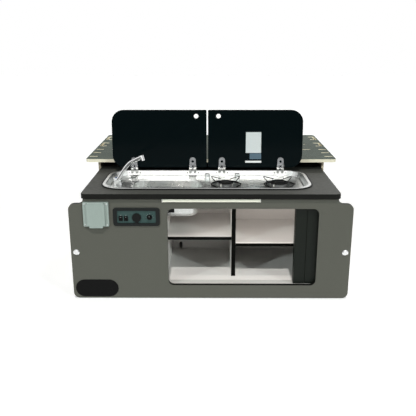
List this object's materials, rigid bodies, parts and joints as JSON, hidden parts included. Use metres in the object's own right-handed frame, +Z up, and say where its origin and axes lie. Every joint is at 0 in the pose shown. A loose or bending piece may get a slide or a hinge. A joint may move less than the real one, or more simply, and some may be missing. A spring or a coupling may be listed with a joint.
{
  "type": "campervan kitchen pod",
  "caption": "Plywood bed case with a kitchen that slides out on runners: hob and sink under raised glass lids, shuttered storage bays behind a grey fascia.",
  "frame": {"origin": "on the ground, under the middle of the whole object at rest", "axes": "+X to the right seen from the front, +Y from the fascia back under the deck, +Z up"},
  "size_m": [1.182, 1.094, 0.7548],
  "materials": {
    "birch_ply": "clear-coated birch plywood, pale cut edges",
    "coated_ply": "grey-green speckled coating on plywood",
    "grey_laminate": "warm dark grey laminate on plywood, black edges",
    "pale_board": "pale warm white board, black front edges",
    "pressed_steel": "bright stainless sheet",
    "bright_chrome": "polished plate",
    "plain_alloy": "plain satin",
    "zinc_plated_steel": "bright zinc plate",
    "black_enamel": "black vitreous enamel",
    "black_glass": "opaque black toughened glass",
    "black_plastic": "fine-grained moulding",
    "gloss_black_plastic": "glossy moulding",
    "grey_plastic": "pale grey-green moulding",
    "dark_shutter": "dark extruded slats",
    "pale_track": "pale extrusion",
    "lamp_cover": "cream diffuser",
    "white_sheath": "white cable sheath"
  },
  "bodies": {
    "case": {"case_floor": "birch_ply", "case_back": "birch_ply", "case_side_left": "birch_ply", "case_side_right": "birch_ply", "deck_board": "coated_ply", "runner_outer_left": "zinc_plated_steel", "runner_outer_right": "zinc_plated_steel", "lock_striker_left": "plain_alloy", "lock_striker_right": "plain_alloy"},
    "kitchen": {"fascia": "grey_laminate", "worktop": "grey_laminate", "kitchen_side_left": "pale_board", "kitchen_side_right": "pale_board", "kitchen_floor": "pale_board", "kitchen_back": "pale_board", "bay_wall": "pale_board", "divider": "pale_board", "shelf_left": "pale_board", "shelf_right": "pale_board", "hob_sink_tray": "pressed_steel", "sink_waste": "pressed_steel", "tap_base": "bright_chrome", "burner_left": "plain_alloy", "burner_right": "plain_alloy", "runner_inner_left": "zinc_plated_steel", "runner_inner_right": "zinc_plated_steel", "burner_cap_left": "black_enamel", "burner_cap_right": "black_enamel", "pan_support_left": "black_enamel", "pan_support_right": "black_enamel", "control_panel": "black_plastic", "shutter_track_top": "black_plastic", "socket_base": "grey_plastic", "shutter_leaf_5": "dark_shutter", "shutter_track_bottom": "pale_track", "strip_light": "lamp_cover", "wiring_lead": "white_sheath"},
    "runner_stage": {"runner_middle_left": "zinc_plated_steel", "runner_middle_right": "zinc_plated_steel"},
    "left_lid": {"lid_glass_left": "black_glass", "lid_hinge_left_outer": "bright_chrome", "lid_hinge_left_inner": "bright_chrome"},
    "right_lid": {"lid_glass_right": "black_glass", "lid_hinge_right_outer": "bright_chrome", "lid_hinge_right_inner": "bright_chrome"},
    "tap_spout": {"tap_spout": "bright_chrome"},
    "tap_lever": {"tap_lever": "bright_chrome"},
    "gas_knob_left": {"gas_knob_left": "bright_chrome"},
    "gas_knob_right": {"gas_knob_right": "bright_chrome"},
    "socket_flap": {"socket_flap": "grey_plastic"},
    "rocker_1": {"rocker_1": "gloss_black_plastic"},
    "rocker_2": {"rocker_2": "gloss_black_plastic"},
    "power_socket_cap": {"power_socket_cap": "black_plastic"},
    "selector": {"selector": "gloss_black_plastic"},
    "lock_knob_left": {"lock_knob_left": "bright_chrome"},
    "lock_knob_right": {"lock_knob_right": "bright_chrome"},
    "shutter_leaf_1": {"shutter_leaf_1": "dark_shutter"},
    "shutter_leaf_2": {"shutter_leaf_2": "dark_shutter"},
    "shutter_leaf_3": {"shutter_leaf_3": "dark_shutter"},
    "shutter_leaf_4": {"shutter_leaf_4": "dark_shutter"}
  },
  "joints": [
    {"name": "kitchen_slide", "type": "slide", "parent": "case", "child": "kitchen", "axis": [0, -1, 0], "range_m": [-0.025, 0.08]},
    {"name": "runner_stage_slide", "type": "slide", "parent": "case", "child": "runner_stage", "axis": [0, -1, 0], "range_m": [-0.0125, 0.04]},
    {"name": "lid_left_hinge", "type": "hinge", "parent": "kitchen", "child": "left_lid", "pos_m": [-0.2373, -0.15695, 0.486], "axis": [1, 0, 0], "range_deg": [0, 94]},
    {"name": "lid_right_hinge", "type": "hinge", "parent": "kitchen", "child": "right_lid", "pos_m": [0.2043, -0.15695, 0.486], "axis": [1, 0, 0], "range_deg": [0, 94]},
    {"name": "tap_fold", "type": "hinge", "parent": "kitchen", "child": "tap_spout", "pos_m": [-0.412, -0.33935, 0.468], "axis": [0, 1, 0], "range_deg": [0, 55]},
    {"name": "tap_lever_turn", "type": "hinge", "parent": "kitchen", "child": "tap_lever", "pos_m": [-0.412, -0.30895, 0.4737], "axis": [0, 0, 1], "range_deg": [0, 60]},
    {"name": "gas_knob_left_turn", "type": "hinge", "parent": "kitchen", "child": "gas_knob_left", "pos_m": [-0.016, -0.20395, 0.46], "axis": [0, 0, 1], "range_deg": [0, 210]},
    {"name": "gas_knob_right_turn", "type": "hinge", "parent": "kitchen", "child": "gas_knob_right", "pos_m": [0.121, -0.20095, 0.46], "axis": [0, 0, 1], "range_deg": [0, 210]},
    {"name": "socket_flap_hinge", "type": "hinge", "parent": "kitchen", "child": "socket_flap", "pos_m": [-0.47, -0.54275, 0.4278], "axis": [-1, 0, 0], "range_deg": [0, 105], "stiffness_Nm_per_rad": 0.06, "springref_deg": -34.38},
    {"name": "rocker_1_tilt", "type": "hinge", "parent": "kitchen", "child": "rocker_1", "pos_m": [-0.37, -0.53075, 0.3614], "axis": [1, 0, 0], "range_deg": [-5, 5]},
    {"name": "rocker_2_tilt", "type": "hinge", "parent": "kitchen", "child": "rocker_2", "pos_m": [-0.3485, -0.53075, 0.3614], "axis": [1, 0, 0], "range_deg": [-5, 5]},
    {"name": "power_cap_hinge", "type": "hinge", "parent": "kitchen", "child": "power_socket_cap", "pos_m": [-0.3045, -0.53355, 0.3842], "axis": [-1, 0, 0], "range_deg": [0, 100]},
    {"name": "selector_turn", "type": "hinge", "parent": "kitchen", "child": "selector", "pos_m": [-0.2515, -0.53075, 0.367], "axis": [0, -1, 0], "range_deg": [-45, 45]},
    {"name": "lock_left_push", "type": "slide", "parent": "kitchen", "child": "lock_knob_left", "axis": [0, -1, 0], "range_m": [0, 0.009]},
    {"name": "lock_right_push", "type": "slide", "parent": "kitchen", "child": "lock_knob_right", "axis": [0, -1, 0], "range_m": [0, 0.009]},
    {"name": "shutter_slide", "type": "slide", "parent": "kitchen", "child": "shutter_leaf_1", "axis": [-1, 0, 0], "range_m": [0, 0.532]},
    {"name": "shutter_follow_2", "type": "slide", "parent": "kitchen", "child": "shutter_leaf_2", "axis": [-1, 0, 0], "range_m": [0, 0.399]},
    {"name": "shutter_follow_3", "type": "slide", "parent": "kitchen", "child": "shutter_leaf_3", "axis": [-1, 0, 0], "range_m": [0, 0.266]},
    {"name": "shutter_follow_4", "type": "slide", "parent": "kitchen", "child": "shutter_leaf_4", "axis": [-1, 0, 0], "range_m": [0, 0.133]}
  ],
  "couplings": [
    {"joint": "runner_stage_slide", "follows": "kitchen_slide", "ratio": 0.5},
    {"joint": "tap_fold", "follows": "lid_left_hinge", "ratio": 0.585},
    {"joint": "shutter_follow_2", "follows": "shutter_slide", "ratio": 0.75},
    {"joint": "shutter_follow_3", "follows": "shutter_slide", "ratio": 0.5},
    {"joint": "shutter_follow_4", "follows": "shutter_slide", "ratio": 0.25}
  ]
}
